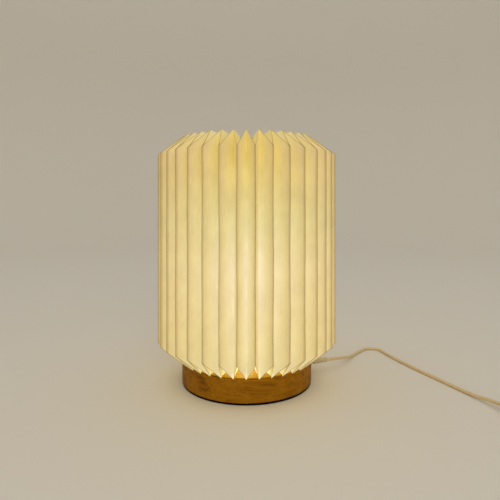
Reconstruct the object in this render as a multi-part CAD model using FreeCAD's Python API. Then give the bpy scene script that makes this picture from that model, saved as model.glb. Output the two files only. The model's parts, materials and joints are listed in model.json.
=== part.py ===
import FreeCAD, Part
import math
import os

# Folding table lamp: a ring of paper pleats stands round a turned walnut base that holds an LED unit.
# A thin cord leaves the base at the right rear and runs to a rocker switch, a tied coil and a flat plug.
# Millimetres and degrees, +Z up. The origin is on the lamp's axis at table level; the front faces -Y.

Vector = FreeCAD.Vector
ORIGIN = Vector(0, 0, 0)
UP = Vector(0, 0, 1)
AHEAD = Vector(1, 0, 0)
ACROSS = Vector(0, 1, 0)
overrun = 5.0                    # how far a cutting solid runs past what it cuts
fine_gap = 0.15                  # clearance round screws and the cord
slide_gap = 0.3                  # clearance round pieces that are dropped in or that move

# Paper shade, measured on the middle of the paper
pleat_count = 36
ridge_radius = 100.0             # outer creases
pleat_depth = 26.8               # from the outer creases in to the inner ones
paper = 0.4
valley_top = 275.7               # inner creases end in tall tips
ridge_top = 255.3
ridge_bottom = 48.2
tip_gap = 0.2                    # under the tips that stand on the base
crease_gap = 0.3                 # between neighbouring pleats along an inner crease
top_tuck = 42.0                  # of the sheet past its upper tips, folded in along the slant
bottom_tuck = 24.0               # and past its lower tips, short of the light
valley_tuck_tilt = 5.0           # of the folded-in ends at the inner creases, in degrees
ridge_tuck_tilt = 9.0            # and at the outer creases
tuck_overlap = 0.1               # of a folded-in end's width, trimmed off at each crease
seam_azimuth = 50.0              # the closing seam, at the right rear

# Wooden base
rim_margin = 0.4                 # from the inner creases out to the base's side
base_top = 27.0
shoulder_depth = 1.6             # step round the rim that the shade's tips stand on
shade_clearance = 0.9            # from the inner creases to the spigot inside them
base_wall = 19.6                 # round the hollow below
cavity_top = 19.0
rim_round = 0.6
foot_round = 0.8

# Foot pad and base cover
pad_height = 2.0
pad_inset = 0.4
pad_round = 0.5
cover_height = 3.0
cover_margin = 11.6              # from the cover's edge out to the base's side
cover_screw_count = 4

# Countersunk wood screws of the cover and the cord grip
screw_radius = 1.4
screw_head_radius = 2.8
screw_head_height = 1.6
screw_length = 15.0

# LED unit
board_radius = 32.0
board_height = 1.6
board_recess_depth = 3.0
board_screw_count = 3
board_screw_margin = 5.6         # from the screws' middles out to the board's edge
board_screw_radius = 1.25
board_screw_head_radius = 2.4
board_screw_head_height = 1.5
board_screw_length = 5.5         # under the head
chip_length = 3.5
chip_width = 2.8
chip_height = 0.8
chip_ring_margins = (12.0, 21.0)  # from each ring of chips out to the board's edge
chip_ring_counts = (12, 6)
dome_wall = 1.6
dome_flange_width = 5.4          # of the flange past the board's edge
dome_ledge = 3.8                 # of the flange past the cap
dome_top = 54.0

# Cord, its exit and its strain relief
cord_radius = 1.75
exit_azimuth = 16.0
exit_height = 12.5
relief_neck_radius = 4.0
relief_flange_radius = 5.5
relief_flange_height = 2.0
relief_collar_radius = 5.2
relief_collar_length = 2.6
relief_end_radius = 2.6
relief_taper_length = 24.0
relief_rib_count = 5
relief_groove_depth = 0.7
relief_groove_share = 0.4        # of each rib's spacing

# Cord grip and lead wires inside the base
grip_setback = 12.0              # of the grip's middle from the hollow's wall
grip_length = 8.0
grip_width = 18.0
grip_floor = 4.0                 # wall under the cord
grip_screw_spacing = 11.0
jacket_run = 8.0                 # from the grip's middle in to where the jacket is stripped
wire_radius = 0.65
wire_hole_radius = 5.0
# Each wire's points, as shares of the run along the hollow, of half the cord's radius and of the rise.
wire_shares = (
    (1.0, 1.0, 0.0),
    (0.86, 1.0, 0.0),
    (0.6, 1.6, -0.05),
    (0.33, 2.0, 0.0),
    (0.12, 2.0, 0.25),
    (0.045, 2.0, 0.65),
    (0.045, 2.0, 1.0),
)

# Route of the cord on the table after it leaves the strain relief
exit_run = 12.0
lie_gap = 0.05                   # under the cord on the table
lie_height = cord_radius + lie_gap
switch_axis_height = 6.2
cord_route = (
    (118.0, 42.0, 10.0),
    (127.5, 57.5, 5.2),
    (139.5, 77.5, lie_height),
    (151.0, 92.0, lie_height),
    (160.9, 103.9, lie_height),
    (168.7, 106.4, lie_height),
    (176.6, 104.3, lie_height),
    (182.1, 98.25, lie_height),
    (184.5, 84.5, lie_height),
    (191.0, 62.0, lie_height),
    (203.0, 28.0, lie_height),
    (220.0, -14.0, lie_height),
    (235.0, -52.0, lie_height),
    (246.0, -80.0, switch_axis_height),
    (250.5, -96.0, switch_axis_height),
)
arc_share = 0.45                 # of the shorter run that an arc takes up

# In-line switch, along the cord's last run
switch_length = 56.0
switch_width = 17.0
switch_end_width = 10.0
switch_taper = 13.0
switch_height = 12.4
switch_wall = 1.6
switch_corner = 4.0
switch_top_round = 1.8
switch_foot_round = 0.9
cord_insert = 3.0                # cord inside each end of the switch
rocker_length = 17.0
rocker_width = 8.4
rocker_pivot_height = 9.9
rocker_depth = 2.0               # below the pivot
rocker_rise = 3.8                # above the pivot, at the rocker's ends
rocker_dip = 1.3                 # the hollow between the ends
rocker_tilt = 7.0                # either side of level
rocker_window_gap = 0.85         # at each end, room for the rocker's swing
trunnion_radius = 1.2
trunnion_reach = 1.6
trunnion_gap = 0.08
lug_width = 6.0
lug_wall = 1.5
contact_place = 7.0              # from the pivot, to each side
contact_strip = 0.8
contact_foot = 3.0
contact_width = 5.0
contact_height = 4.8
switch_screw_place = 16.0        # from the middle, to each side
switch_screw_radius = 1.0
switch_screw_head_radius = 1.9
switch_screw_head_height = 1.4
switch_screw_sink = 0.6
switch_screw_length = 8.0
switch_boss_wall = 1.5

# Put-away coil and its tie
coil_mean_radius = 20.5
coil_turns = 4                   # in each of the two layers
coil_pitch = 4.7                 # from turn to turn and from layer to layer
coil_lead = 22.0                 # from the switch to where the first turn starts
coil_tail = 25.0                 # from the last turn to the plug
tie_thickness = 0.8
tie_width = 8.0
tie_round = 1.2

# Flat plug
plug_length = 22.0
plug_width = 15.6
plug_rear_width = 8.0
plug_height = 8.0
plug_taper = 6.0
plug_corner = 2.0
plug_round = 1.4
shell_width = 12.0
shell_height = 4.5
shell_wall = 0.3
shell_reach = 12.0               # of the shell past the grip
shell_root = 6.0                 # of the shell inside the grip
tongue_height = 1.8
tongue_setback = 1.0
strip_count = 4
strip_width = 1.2
strip_height = 0.2
strip_setback = 1.5
strip_pitch = 2.4

# Sizes that follow from those above
half_pitch = math.pi / pleat_count
valley_radius = ridge_radius - pleat_depth
base_radius = valley_radius + rim_margin
cavity_radius = base_radius - base_wall
cover_radius = base_radius - cover_margin
shoulder = base_top - shoulder_depth
valley_bottom = shoulder + tip_gap
spigot_radius = valley_radius - shade_clearance
recess_floor = base_top - board_recess_depth
recess_radius = board_radius + slide_gap
board_top = recess_floor + board_height
board_screw_circle = board_radius - board_screw_margin
dome_flange_radius = board_radius + dome_flange_width
dome_radius = dome_flange_radius - dome_ledge
cover_top = pad_height + cover_height
cord_diameter = 2 * cord_radius
grip_bottom = exit_height - cord_radius - grip_floor
grip_place = cavity_radius - grip_setback
cord_end_place = grip_place - jacket_run
exit_direction = Vector(math.cos(math.radians(exit_azimuth)), math.sin(math.radians(exit_azimuth)), 0)
relief_collar_place = base_radius + fine_gap
relief_end_place = relief_collar_place + relief_collar_length + relief_taper_length
tie_gap = slide_gap
coil_floor = tie_thickness + tie_gap + cord_radius
coil_outer = coil_mean_radius + coil_turns * coil_pitch / 2
coil_inner = coil_mean_radius - coil_turns * coil_pitch / 2


def rounded_wire(corners, to_point):
    """Closed wire through (u, v, radius) corners; a radius above zero gives a tangent arc there."""
    count = len(corners)
    stops = []
    for i, (u, v, radius) in enumerate(corners):
        here = Vector(u, v, 0)
        back = (Vector(*corners[i - 1][:2], 0) - here).normalize()
        ahead = (Vector(*corners[(i + 1) % count][:2], 0) - here).normalize()
        half = back.getAngle(ahead) / 2
        reach = radius / math.tan(half)
        inward = radius / math.sin(half) - radius
        middle = here + (back + ahead).normalize() * inward if radius else here
        stops.append((here + back * reach, middle, here + ahead * reach, radius))
    edges = []
    for i, (start, middle, end, radius) in enumerate(stops):
        if radius:
            edges.append(Part.Arc(to_point(start), to_point(middle), to_point(end)).toShape())
        following = stops[(i + 1) % count][0]
        if end.distanceToPoint(following) > Part.Precision.confusion():
            edges.append(Part.LineSegment(to_point(end), to_point(following)).toShape())
    return Part.Wire(edges)


def in_plan(point):
    return Vector(point.x, point.y, 0)


def in_side_view(point):
    return Vector(point.x, 0, point.y)


def turned(corners):
    """Solid of revolution about Z from (radius, height, corner radius) corners."""
    return Part.Face(rounded_wire(corners, in_side_view)).revolve(ORIGIN, UP, 360)


def plate(corners, bottom, top):
    """Flat outline of (x, y, corner radius) corners, raised from bottom to top."""
    face = Part.Face(rounded_wire(corners, in_plan))
    face.translate(Vector(0, 0, bottom))
    return face.extrude(Vector(0, 0, top - bottom))


def side_plate(corners, width):
    """Side-view outline of (x, z, corner radius) corners, as wide as given across the middle."""
    face = Part.Face(rounded_wire(corners, in_side_view))
    face.translate(ACROSS * (-width / 2))
    return face.extrude(ACROSS * width)


def box(length, width, height, centre_x, centre_y, bottom):
    corner = Vector(centre_x - length / 2, centre_y - width / 2, bottom)
    return Part.makeBox(length, width, height, corner)


def post(radius, bottom, top, x=0.0, y=0.0):
    return Part.makeCylinder(radius, top - bottom, Vector(x, y, bottom), UP)


def turned_about_axis(shape, degrees):
    copy = shape.copy()
    copy.rotate(ORIGIN, UP, degrees)
    return copy


def ring_of(shape, count, start=0.0):
    """Copies of a shape at even steps round the lamp's axis."""
    return [turned_about_axis(shape, start + 360.0 * i / count) for i in range(count)]


def placed(shape, frame):
    """Copy of a piece, carried from its own frame to the lamp's."""
    copy = shape.copy()
    copy.Placement = frame.multiply(copy.Placement)
    return copy


def along_exit(shape):
    """Stand a piece made along Z from the lamp's axis on the cord's exit line."""
    turn = FreeCAD.Rotation(UP, exit_direction)
    return placed(shape, FreeCAD.Placement(Vector(0, 0, exit_height), turn))


def route_path(points):
    """Straight runs joined by tangent arcs, each as large as its two runs allow."""
    edges = []
    radii = []
    last = points[0]
    for before, here, after in zip(points, points[1:], points[2:]):
        back = before - here
        ahead = after - here
        turn = math.pi - back.getAngle(ahead)
        reach = arc_share * min(back.Length, ahead.Length)
        radius = reach / math.tan(turn / 2)
        back.normalize()
        ahead.normalize()
        inward = radius / math.cos(turn / 2) - radius
        middle = here + (back + ahead).normalize() * inward
        start = here + back * reach
        end = here + ahead * reach
        edges.append(Part.LineSegment(last, start).toShape())
        edges.append(Part.Arc(start, middle, end).toShape())
        radii.append(radius)
        last = end
    edges.append(Part.LineSegment(last, points[-1]).toShape())
    return Part.Wire(edges), radii


def biarc(start, start_way, end, end_way):
    """Two arcs that leave start along start_way and reach end along end_way."""
    span = end - start
    ways = start_way + end_way
    square = ways.dot(ways) - 4
    cross = -2 * span.dot(ways)
    if abs(square) < Part.Precision.confusion():
        reach = -span.dot(span) / cross
    else:
        root = math.sqrt(cross * cross - 4 * square * span.dot(span))
        reach = (-cross - root) / (2 * square)
    corner = start + start_way * reach
    other_corner = end - end_way * reach
    joint = (corner + other_corner) * 0.5
    edges = []
    for first, apex, second in ((start, corner, joint), (joint, other_corner, end)):
        chord = second - first
        half = math.acos(min(1.0, chord.Length / (2 * reach)))
        middle = (first + second) * 0.5
        if half < Part.Precision.confusion():
            edges.append(Part.LineSegment(first, second).toShape())
        else:
            rise = chord.Length / 2 * math.tan(half / 2)
            middle = middle + (apex - middle).normalize() * rise
            edges.append(Part.Arc(first, middle, second).toShape())
    return edges


def tube(path, radius, name):
    """Round tube along a wire; its volume is compared with its section times its length."""
    first = path.OrderedEdges[0]
    start = first.valueAt(first.FirstParameter)
    way = first.tangentAt(first.FirstParameter)
    pipe = Part.BRepOffsetAPI.MakePipeShell(path)
    pipe.add(Part.Wire([Part.makeCircle(radius, start, way)]))
    pipe.build()
    pipe.makeSolid()
    solid = pipe.shape()
    share = solid.Volume / (math.pi * radius ** 2 * path.Length)
    print(name, "length %.1f mm, volume over section times length %.4f" % (path.Length, share))
    return solid


def folded_in_end(valley_height, ridge_height, valley_reach, ridge_way, half_sheet):
    """End of a panel past its slanted crease: a twisted strip, folded in towards the lamp's axis."""
    slant = ridge_height - valley_height
    stops = (
        (AHEAD, valley_radius, valley_height, valley_reach, valley_tuck_tilt),
        (ridge_way, ridge_radius, ridge_height, valley_reach + abs(slant), ridge_tuck_tilt),
    )
    crease = []
    inner_edge = []
    for way, radius, height, reach, tilt in stops:
        climb = math.copysign(math.sin(math.radians(tilt)), slant)
        inward = math.cos(math.radians(tilt))
        crease.append(way * radius + UP * height)
        inner_edge.append(way * (radius - reach * inward) + UP * (height + reach * climb))
    outlines = []
    for start, end in (crease, inner_edge):
        past = (end - start) * tuck_overlap
        start = start - past
        end = end + past
        corners = [start - half_sheet, end - half_sheet, end + half_sheet, start + half_sheet]
        outlines.append(Part.makePolygon(corners + corners[:1]))
    return Part.makeLoft(outlines, True, True)


def shade_pleat():
    """One pleat: two flat panels that meet at a mitred outer crease, their ends folded in on a slant."""
    valley = Vector(valley_radius, 0, 0)
    ridge_way = Vector(math.cos(half_pitch), math.sin(half_pitch), 0)
    along = ridge_way * ridge_radius - valley
    width = along.Length
    along.normalize()
    across = UP.cross(along)
    half_sheet = across * (paper / 2)
    top_fall = (valley_top - ridge_top) / width
    bottom_rise = (ridge_bottom - valley_bottom) / width
    far = width + overrun
    corners = [
        valley - along * overrun + UP * (valley_bottom - bottom_rise * overrun),
        valley + along * far + UP * (valley_bottom + bottom_rise * far),
        valley + along * far + UP * (valley_top - top_fall * far),
        valley - along * overrun + UP * (valley_top + top_fall * overrun),
    ]
    sheet = Part.Face(Part.makePolygon(corners + corners[:1]))
    sheet.translate(half_sheet * -1)
    panel = sheet.extrude(half_sheet * 2)
    top_end = folded_in_end(valley_top, ridge_top, top_tuck, ridge_way, half_sheet)
    bottom_end = folded_in_end(valley_bottom, ridge_bottom, bottom_tuck, ridge_way, half_sheet)
    # The lower ends clear the base's top, so they start a little above the tips.
    bottom_end = bottom_end.cut(post(ridge_radius + overrun, 0, base_top + slide_gap))
    # The sector from the inner crease's gap to the outer crease, whose fold is blunted by half the paper.
    fold = ridge_radius + paper / 2
    gap = crease_gap / 2
    inside = valley_radius - max(top_tuck, bottom_tuck) - overrun
    sector = plate(
        [
            (inside, gap, 0),
            ((fold - gap * ridge_way.y) / ridge_way.x, gap, 0),
            (fold * ridge_way.x, fold * ridge_way.y, 0),
            (inside * ridge_way.x, inside * ridge_way.y, 0),
        ],
        0,
        valley_top + overrun,
    )
    half_pleat = panel.fuse([top_end, bottom_end]).common(sector)
    twin = half_pleat.mirror(ORIGIN, UP.cross(ridge_way))
    return half_pleat.fuse(twin).removeSplitter()


def wood_screw():
    """Countersunk screw that points up, its head's face at zero."""
    return turned([
        (0, 0, 0),
        (screw_head_radius, 0, 0),
        (screw_radius, screw_head_height, 0),
        (screw_radius, screw_length - screw_radius, 0),
        (0, screw_length, 0),
    ])


def screw_hole():
    """Room for one wood screw and its head, open below."""
    return turned([
        (0, -overrun, 0),
        (screw_head_radius + fine_gap, -overrun, 0),
        (screw_head_radius + fine_gap, 0, 0),
        (screw_radius + fine_gap, screw_head_height, 0),
        (screw_radius + fine_gap, screw_length + fine_gap, 0),
        (0, screw_length + fine_gap, 0),
    ])


def cover_screw_places(shape):
    middle = (cavity_radius + cover_radius) / 2
    copy = shape.copy()
    copy.translate(Vector(middle, 0, pad_height))
    return ring_of(copy, cover_screw_count, 180.0 / cover_screw_count)


def grip_screw_places(shape):
    copies = []
    for side in (-1, 1):
        copy = shape.copy()
        copy.translate(Vector(grip_place, side * grip_screw_spacing / 2, grip_bottom))
        copies.append(turned_about_axis(copy, exit_azimuth))
    return copies


def board_screw(gap=0.0):
    """Pan-head screw of the LED board, its head on the board; a gap gives the hole for it."""
    head = board_top + board_screw_head_height
    shape = turned([
        (0, board_top - board_screw_length - gap, 0),
        (board_screw_radius + gap, board_top - board_screw_length - gap, 0),
        (board_screw_radius + gap, board_top, 0),
        (board_screw_head_radius, board_top, 0),
        (board_screw_head_radius, head, board_screw_head_height / 2),
        (0, head, 0),
    ])
    shape.translate(Vector(board_screw_circle, 0, 0))
    return shape


def base_body():
    """Turned disc with a step for the shade's tips, a recess for the LED board and a hollow below."""
    body = turned([
        (wire_hole_radius, cavity_top, 0),
        (cavity_radius, cavity_top, 0),
        (cavity_radius, cover_top, 0),
        (cover_radius + slide_gap, cover_top, 0),
        (cover_radius + slide_gap, pad_height, 0),
        (base_radius, pad_height, foot_round),
        (base_radius, shoulder, rim_round),
        (spigot_radius, shoulder, 0),
        (spigot_radius, base_top, rim_round),
        (recess_radius, base_top, 0),
        (recess_radius, recess_floor, 0),
        (wire_hole_radius, recess_floor, 0),
    ])
    start = cavity_radius - overrun
    cord_hole = along_exit(
        Part.makeCylinder(relief_neck_radius + fine_gap, base_radius + overrun - start, UP * start))
    holes = cover_screw_places(screw_hole()) + grip_screw_places(screw_hole())
    holes += ring_of(board_screw(fine_gap), board_screw_count)
    return body.cut([cord_hole] + holes)


def foot_pad():
    return turned([
        (0, 0, 0),
        (base_radius - pad_inset, 0, pad_round),
        (base_radius - pad_inset, pad_height, 0),
        (0, pad_height, 0),
    ])


def base_cover():
    disc = post(cover_radius, pad_height, cover_top)
    return disc.cut(cover_screw_places(screw_hole()))


def base_screws():
    return Part.makeCompound(cover_screw_places(wood_screw()) + grip_screw_places(wood_screw()))


def led_board():
    disc = post(board_radius, recess_floor, board_top)
    return disc.cut(ring_of(board_screw(fine_gap), board_screw_count))


def board_screws():
    return Part.makeCompound(ring_of(board_screw(), board_screw_count))


def led_chips():
    chips = []
    for margin, count in zip(chip_ring_margins, chip_ring_counts):
        chip = box(chip_width, chip_length, chip_height, board_radius - margin, 0, board_top)
        chips += ring_of(chip, count, 180.0 / count)
    return Part.makeCompound(chips)


def diffuser_dome():
    """Opal dome: a skirt that drops into the board's recess, a flange on the wood and a round cap."""
    flange_top = base_top + dome_wall
    cap = dome_top - flange_top
    cap_radius = (dome_radius ** 2 + cap ** 2) / (2 * cap)
    centre = dome_top - cap_radius
    inner_radius = cap_radius - dome_wall
    skirt = board_radius - dome_wall

    def on_cap(radius, distance):
        return Vector(distance, 0, centre + math.sqrt(radius ** 2 - distance ** 2))

    rim = [
        (skirt, board_top),
        (board_radius, board_top),
        (board_radius, base_top),
        (dome_flange_radius, base_top),
        (dome_flange_radius, flange_top),
        (dome_radius, flange_top),
    ]
    points = [Vector(radius, 0, height) for radius, height in rim]
    edges = [Part.LineSegment(a, b).toShape() for a, b in zip(points, points[1:])]
    crown = on_cap(cap_radius, 0)
    inner_crown = on_cap(inner_radius, 0)
    inner_foot = on_cap(inner_radius, skirt)
    edges.append(Part.Arc(points[-1], on_cap(cap_radius, dome_radius / 2), crown).toShape())
    edges.append(Part.LineSegment(crown, inner_crown).toShape())
    edges.append(Part.Arc(inner_crown, on_cap(inner_radius, skirt / 2), inner_foot).toShape())
    edges.append(Part.LineSegment(inner_foot, points[0]).toShape())
    return Part.Face(Part.Wire(edges)).revolve(ORIGIN, UP, 360)


def strain_relief():
    """Moulded boot: inner flange, neck through the wood, collar outside and a ribbed taper."""
    seat = math.sqrt(cavity_radius ** 2 - relief_flange_radius ** 2) - fine_gap
    taper_start = relief_collar_place + relief_collar_length
    spacing = relief_taper_length / relief_rib_count
    groove = spacing * relief_groove_share
    bore = cord_radius + fine_gap
    slope = (relief_neck_radius - relief_end_radius) / relief_taper_length
    corners = [
        (bore, seat - relief_flange_height, 0),
        (relief_flange_radius, seat - relief_flange_height, 0),
        (relief_flange_radius, seat, 0),
        (relief_neck_radius, seat, 0),
        (relief_neck_radius, relief_collar_place, 0),
        (relief_collar_radius, relief_collar_place, 0),
        (relief_collar_radius, taper_start, relief_groove_depth),
    ]
    for rib in range(relief_rib_count):
        start = taper_start + rib * spacing
        land = relief_neck_radius - slope * (start + groove - taper_start)
        end_land = relief_neck_radius - slope * (start + spacing - taper_start)
        corners += [
            (land - relief_groove_depth, start, 0),
            (land - relief_groove_depth, start + groove, 0),
            (land, start + groove, 0),
            (end_land, start + spacing, 0),
        ]
    corners.append((bore, relief_end_place, 0))
    return along_exit(turned(corners))


def held_cord():
    """The cord inside the strain relief and the grip, up to where its jacket is stripped."""
    length = relief_end_place - cord_end_place
    return along_exit(Part.makeCylinder(cord_radius, length, Vector(0, 0, cord_end_place)))


def cord_grip():
    """Block screwed under the base's ceiling, bored for the cord."""
    block = box(grip_length, grip_width, cavity_top - grip_bottom, grip_place, 0, grip_bottom)
    block = turned_about_axis(block, exit_azimuth)
    bore = along_exit(Part.makeCylinder(cord_radius + fine_gap, base_radius))
    return block.cut([bore] + grip_screw_places(screw_hole()))


def lead_wires():
    """Two wires from the stripped cord along the hollow and up to the underside of the LED board."""
    wires = []
    for side in (-1, 1):
        apart = side * cord_radius / 2
        rise = recess_floor - exit_height
        points = [
            Vector(cord_end_place * along, apart * across, exit_height + rise * up)
            for along, across, up in wire_shares
        ]
        path, radii = route_path(points)
        wires.append(turned_about_axis(tube(path, wire_radius, "lead wire"), exit_azimuth))
    return Part.makeCompound(wires)


def cord_points():
    """The cord's route from the strain relief's end to the inside of the switch."""
    start = exit_direction * relief_end_place + UP * exit_height
    return [start, start + exit_direction * exit_run] + [Vector(*point) for point in cord_route]


def lamp_cord():
    path, radii = route_path(cord_points())
    print("lamp cord radii", [round(radius, 1) for radius in radii])
    return tube(path, cord_radius, "lamp cord")


def switch_frame():
    """X along the cord's last run from the switch's inlet, on the table."""
    before, end = cord_points()[-2:]
    way = (end - before).normalize()
    start = end - way * cord_insert
    return FreeCAD.Placement(Vector(start.x, start.y, 0), FreeCAD.Rotation(AHEAD, way))


def at_switch(shape):
    return placed(shape, switch_frame())


def switch_outline(inset):
    """Plan of the switch, drawn in by the inset: wide in the middle and narrow at the cord's ends."""
    side = switch_width / 2 - inset
    end_side = switch_end_width / 2 - inset
    first = inset
    last = switch_length - inset
    corner = switch_corner - inset
    return [
        (first, -end_side, corner / 2),
        (switch_taper, -side, corner),
        (switch_length - switch_taper, -side, corner),
        (last, -end_side, corner / 2),
        (last, end_side, corner / 2),
        (switch_length - switch_taper, side, corner),
        (switch_taper, side, corner),
        (first, end_side, corner / 2),
    ]


def switch_shell(bottom, top, inner_bottom, inner_top, round_height, rounding):
    """Hollow half of the switch with its outer edge rounded at round_height and a hole at each end."""
    block = plate(switch_outline(0), bottom, top)
    edges = [edge for edge in block.Edges if all(v.Z == round_height for v in edge.Vertexes)]
    block = block.makeFillet(rounding, edges)
    hollow = plate(switch_outline(switch_wall), inner_bottom, inner_top)
    hole = Part.makeCylinder(
        cord_radius + fine_gap,
        switch_length + 2 * overrun,
        Vector(-overrun, 0, switch_axis_height),
        AHEAD,
    )
    return block.cut([hollow, hole])


def switch_screw_posts(radius, bottom, top):
    middle = switch_length / 2
    return [post(radius, bottom, top, middle + side * switch_screw_place) for side in (-1, 1)]


def switch_lower_shell():
    shell = switch_shell(
        0, switch_axis_height, switch_wall, switch_axis_height + overrun, 0, switch_foot_round)
    boss_radius = switch_screw_head_radius + switch_boss_wall
    bosses = switch_screw_posts(boss_radius, 0, switch_axis_height)
    head_room = switch_screw_posts(
        switch_screw_head_radius + fine_gap, -overrun, switch_screw_sink + switch_screw_head_height)
    shanks = switch_screw_posts(switch_screw_radius + fine_gap, 0, switch_height)
    return at_switch(shell.fuse(bosses).removeSplitter().cut(head_room + shanks))


def switch_upper_shell():
    """Upper half: a window for the rocker, two lugs that carry its trunnions and two screw bosses."""
    shell = switch_shell(
        switch_axis_height,
        switch_height,
        switch_axis_height - overrun,
        switch_height - switch_wall,
        switch_height,
        switch_top_round,
    )
    middle = switch_length / 2
    ceiling = switch_height - switch_wall
    lug_bottom = rocker_pivot_height - trunnion_radius - lug_wall
    lug_place = rocker_width / 2 + slide_gap + lug_wall / 2
    lugs = [
        box(lug_width, lug_wall, ceiling - lug_bottom, middle, side * lug_place, lug_bottom)
        for side in (-1, 1)
    ]
    boss_radius = switch_screw_radius + switch_boss_wall
    bosses = switch_screw_posts(boss_radius, switch_axis_height, ceiling)
    window = box(
        rocker_length + 2 * rocker_window_gap,
        rocker_width + 2 * slide_gap,
        switch_height,
        middle,
        0,
        switch_axis_height,
    )
    bearing = Part.makeCylinder(
        trunnion_radius + trunnion_gap,
        switch_width - 2 * switch_wall,
        Vector(middle, switch_wall - switch_width / 2, rocker_pivot_height),
        ACROSS,
    )
    shank_top = switch_screw_sink + switch_screw_head_height + switch_screw_length + fine_gap
    shanks = switch_screw_posts(switch_screw_radius + fine_gap, 0, shank_top)
    return at_switch(shell.fuse(lugs + bosses).removeSplitter().cut([window, bearing] + shanks))


def switch_rocker():
    """Dished key with a trunnion on each side, tilted to its on stop."""
    middle = switch_length / 2
    end = rocker_length / 2
    outline = [
        (-end, -rocker_depth, rocker_dip / 2),
        (end, -rocker_depth, rocker_dip / 2),
        (end, rocker_rise, rocker_dip / 2),
        (0, rocker_rise - rocker_dip, rocker_length),
        (-end, rocker_rise, rocker_dip / 2),
    ]
    reach = rocker_width / 2 + trunnion_reach
    trunnions = Part.makeCylinder(trunnion_radius, 2 * reach, ACROSS * -reach, ACROSS)
    key = side_plate(outline, rocker_width).fuse(trunnions).removeSplitter()
    key.rotate(ORIGIN, ACROSS, rocker_tilt)
    key.translate(Vector(middle, 0, rocker_pivot_height))
    return at_switch(key)


def switch_contacts():
    """Two bent brass strips on the floor, one under each end of the rocker."""
    strips = []
    for side in (-1, 1):
        outline = [
            (0, 0, 0),
            (contact_foot, 0, 0),
            (contact_foot, contact_strip, 0),
            (contact_strip, contact_strip, 0),
            (contact_strip, contact_height, 0),
            (0, contact_height, 0),
        ]
        strip = side_plate(outline, contact_width)
        strip.translate(Vector(contact_place, 0, switch_wall))
        strip.rotate(ORIGIN, UP, 0 if side > 0 else 180)
        strip.translate(Vector(switch_length / 2, 0, 0))
        strips.append(at_switch(strip))
    return Part.makeCompound(strips)


def switch_screws():
    under_head = switch_screw_sink + switch_screw_head_height
    heads = switch_screw_posts(switch_screw_head_radius, switch_screw_sink, under_head)
    shanks = switch_screw_posts(switch_screw_radius, under_head, under_head + switch_screw_length)
    screws = [head.fuse(shank).removeSplitter() for head, shank in zip(heads, shanks)]
    return Part.makeCompound([at_switch(screw) for screw in screws])


def coil_centre():
    return Vector(switch_length + coil_lead, coil_outer, coil_floor)


def coil_stations():
    """Points and headings every half turn: in along the lower layer, up, and out along the upper one."""
    half_turns = 2 * coil_turns
    stations = []
    for step in range(2 * half_turns + 2):
        angle = math.pi * (step - 0.5)
        if step <= half_turns:
            radius = coil_outer - coil_pitch * step / 2
            lift = 0.0
        else:
            radius = coil_inner + coil_pitch * (step - half_turns - 1) / 2
            lift = coil_pitch
        way = Vector(-math.sin(angle), math.cos(angle), 0)
        place = coil_centre() + Vector(math.cos(angle), math.sin(angle), 0) * radius
        stations.append((place + UP * lift, way))
    return stations


def plug_start():
    """Where the cord meets the plug, and the heading there."""
    place, way = coil_stations()[-1]
    axis = plug_height / 2
    return Vector(place.x, place.y, axis) + way * coil_tail, way


def cord_coil():
    """One unbroken tube: out of the switch, round the coil's two layers and into the plug."""
    start = Vector(switch_length - cord_insert, 0, switch_axis_height)
    clear = Vector(switch_length + cord_diameter, 0, switch_axis_height)
    stations = [(clear, AHEAD)] + coil_stations()
    end, way = plug_start()
    stations.append((end - way * cord_diameter, way))
    edges = [Part.LineSegment(start, clear).toShape()]
    for (place, heading), (next_place, next_heading) in zip(stations, stations[1:]):
        edges += biarc(place, heading, next_place, next_heading)
    edges.append(Part.LineSegment(stations[-1][0], end).toShape())
    path = Part.Wire(edges)
    print("cord coil least gap to itself %.2f mm" % least_gap(path))
    return at_switch(tube(path, cord_radius, "cord coil"))


def least_gap(path):
    """Least distance between stretches of a tube that are over half a turn apart along it."""
    points = path.discretize(Distance=cord_radius)
    step = path.Length / (len(points) - 1)
    apart = math.ceil(math.pi * coil_inner / 2 / step)
    least = path.Length
    for i, point in enumerate(points):
        for other in points[i + apart:]:
            least = min(least, point.distanceToPoint(other))
    return least - cord_diameter


def coil_tie():
    """Strap round the bundle of turns on the coil's far side."""
    centre = coil_centre()
    near = math.sqrt(coil_inner ** 2 - (tie_width / 2) ** 2) - cord_radius - tie_gap
    far = coil_outer + cord_radius + tie_gap
    top = coil_floor + coil_pitch + cord_radius + tie_gap
    rounding = tie_round + tie_thickness
    outer = [
        (near - tie_thickness, 0, rounding),
        (far + tie_thickness, 0, rounding),
        (far + tie_thickness, top + tie_thickness, rounding),
        (near - tie_thickness, top + tie_thickness, rounding),
    ]
    inner = [
        (near, tie_thickness, tie_round),
        (far, tie_thickness, tie_round),
        (far, top, tie_round),
        (near, top, tie_round),
    ]
    strap = side_plate(outer, tie_width).cut(side_plate(inner, tie_width + overrun))
    strap.translate(Vector(centre.x, centre.y, 0))
    return at_switch(strap)


def at_plug(shape):
    """Stand a piece made along X from the plug's rear on the end of the cord."""
    start, way = plug_start()
    frame = FreeCAD.Placement(Vector(start.x, start.y, 0), FreeCAD.Rotation(AHEAD, way))
    return placed(shape, switch_frame().multiply(frame))


def shell_box(inset, start, end):
    """Block of the metal shell's section, drawn in by the inset, between two places along the plug."""
    height = shell_height - 2 * inset
    bottom = plug_height / 2 - height / 2
    return box(end - start, shell_width - 2 * inset, height, (start + end) / 2, 0, bottom)


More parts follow.
